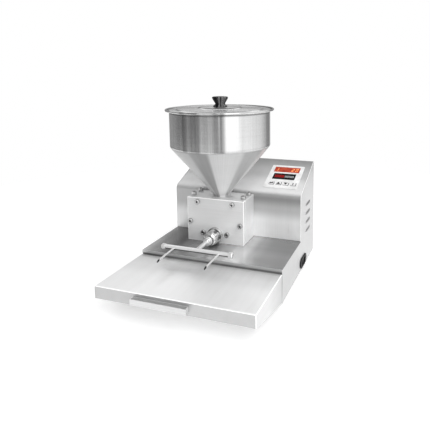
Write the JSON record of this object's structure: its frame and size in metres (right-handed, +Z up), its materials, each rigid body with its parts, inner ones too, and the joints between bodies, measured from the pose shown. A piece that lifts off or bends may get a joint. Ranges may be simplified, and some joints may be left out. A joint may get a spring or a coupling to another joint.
{
  "type": "donut filling machine",
  "caption": "Countertop donut filler: lidded cone hopper over a gear pump, cross tube with two needles, sloped control panel and pull-out tray.",
  "frame": {"origin": "under the centre of the machine, on the surface that it stands on", "axes": "+Z up, the tray and needles face -Y, the control panel is towards +X"},
  "size_m": [0.3624, 0.492, 0.45],
  "materials": {
    "satin_steel": "satin brushed stainless sheet",
    "hopper_steel": "polished spun stainless with fine vertical grain",
    "deck_steel": "polished stainless that mirrors softly",
    "block_steel": "fine ground stainless block",
    "bright_steel": "bright turned stainless",
    "black_plastic": "glossy moulded",
    "black_rubber": "matte",
    "white_panel": "satin membrane film",
    "red_window": "tinted window over a lit display",
    "cast_grey": "painted castings",
    "green_board": "circuit board laminate",
    "gasket_white": "food-grade gasket"
  },
  "bodies": {
    "base": {"bottom_plate": "satin_steel", "side_panel_left": "satin_steel", "side_panel_right": "satin_steel", "front_bulkhead": "satin_steel", "tray_guide_left": "satin_steel", "tray_guide_right": "satin_steel", "housing_cover": "satin_steel", "back_panel": "satin_steel", "motor_bracket": "satin_steel", "power_supply": "satin_steel", "deck_plate": "deck_steel", "pump_body": "block_steel", "pump_cover": "block_steel", "outlet_spigot": "bright_steel", "cover_bolt_1": "bright_steel", "cover_bolt_2": "bright_steel", "cover_bolt_3": "bright_steel", "cover_bolt_4": "bright_steel", "cover_bolt_5": "bright_steel", "cover_bolt_6": "bright_steel", "clamp_bolt_1": "bright_steel", "clamp_bolt_2": "bright_steel", "clamp_bolt_3": "bright_steel", "clamp_bolt_4": "bright_steel", "switch_body": "black_plastic", "mains_inlet": "black_plastic", "foot_front_left": "black_rubber", "foot_front_right": "black_rubber", "foot_rear_left": "black_rubber", "foot_rear_right": "black_rubber", "hopper_seal": "black_rubber", "control_membrane": "white_panel", "display_window": "red_window", "drive_motor": "cast_grey", "gearbox": "cast_grey", "pump_pedestal": "cast_grey", "control_board": "green_board", "cover_gasket": "gasket_white"},
    "hopper_body": {"hopper": "hopper_steel"},
    "lid_body": {"lid": "hopper_steel", "lid_knob": "black_plastic"},
    "tray_body": {"tray": "satin_steel", "tray_handle": "satin_steel", "tray_runner_left": "satin_steel", "tray_runner_right": "satin_steel"},
    "drive_shaft": {"drive_gear": "bright_steel", "shaft_coupling": "cast_grey"},
    "driven_shaft": {"driven_gear": "bright_steel"},
    "nozzle": {"feed_pipe": "bright_steel", "manifold_tube": "bright_steel", "needle_left": "bright_steel", "needle_right": "bright_steel"},
    "union": {"union_nut": "bright_steel"},
    "cap_left": {"end_cap_left": "bright_steel"},
    "cap_right": {"end_cap_right": "bright_steel"},
    "key_enter_body": {"key_enter": "white_panel"},
    "key_up_body": {"key_up": "white_panel"},
    "key_down_body": {"key_down": "white_panel"},
    "key_set_body": {"key_set": "white_panel"},
    "rocker": {"switch_rocker": "black_plastic"}
  },
  "joints": [
    {"name": "hopper_lift", "type": "slide", "parent": "base", "child": "hopper_body", "axis": [0, 0, 1], "range_m": [0, 0.15]},
    {"name": "lid_lift", "type": "slide", "parent": "hopper_body", "child": "lid_body", "axis": [0, 0, 1], "range_m": [0, 0.12]},
    {"name": "tray_slide", "type": "slide", "parent": "base", "child": "tray_body", "axis": [0, -1, 0], "range_m": [0, 0.11]},
    {"name": "drive_gear_spin", "type": "hinge", "parent": "base", "child": "drive_shaft", "pos_m": [-0.047, 0.06, 0.146], "axis": [0, 1, 0], "continuous": true},
    {"name": "driven_gear_spin", "type": "hinge", "parent": "base", "child": "driven_shaft", "pos_m": [-0.005, 0.06, 0.146], "axis": [0, 1, 0], "continuous": true},
    {"name": "nozzle_pull", "type": "slide", "parent": "base", "child": "nozzle", "axis": [0, -1, 0], "range_m": [0, 0.05]},
    {"name": "union_nut_spin", "type": "hinge", "parent": "nozzle", "child": "union", "pos_m": [-0.026, 0.01, 0.1027], "axis": [0, 1, 0], "continuous": true},
    {"name": "end_cap_left_spin", "type": "hinge", "parent": "nozzle", "child": "cap_left", "pos_m": [-0.111, -0.0755, 0.1027], "axis": [1, 0, 0], "continuous": true},
    {"name": "end_cap_right_spin", "type": "hinge", "parent": "nozzle", "child": "cap_right", "pos_m": [0.059, -0.0755, 0.1027], "axis": [1, 0, 0], "continuous": true},
    {"name": "key_enter_press", "type": "slide", "parent": "base", "child": "key_enter_body", "axis": [0, 0.3806, -0.9247], "range_m": [0, 0.0008], "stiffness_N_per_m": 300, "springref_m": -0.0005},
    {"name": "key_up_press", "type": "slide", "parent": "base", "child": "key_up_body", "axis": [0, 0.3806, -0.9247], "range_m": [0, 0.0008], "stiffness_N_per_m": 300, "springref_m": -0.0005},
    {"name": "key_down_press", "type": "slide", "parent": "base", "child": "key_down_body", "axis": [0, 0.3806, -0.9247], "range_m": [0, 0.0008], "stiffness_N_per_m": 300, "springref_m": -0.0005},
    {"name": "key_set_press", "type": "slide", "parent": "base", "child": "key_set_body", "axis": [0, 0.3806, -0.9247], "range_m": [0, 0.0008], "stiffness_N_per_m": 300, "springref_m": -0.0005},
    {"name": "switch_rock", "type": "hinge", "parent": "base", "child": "rocker", "pos_m": [0.175, 0.121, 0.02], "axis": [0, 0, 1], "range_deg": [-14, 0]}
  ],
  "couplings": [
    {"joint": "driven_gear_spin", "follows": "drive_gear_spin", "ratio": -1}
  ]
}
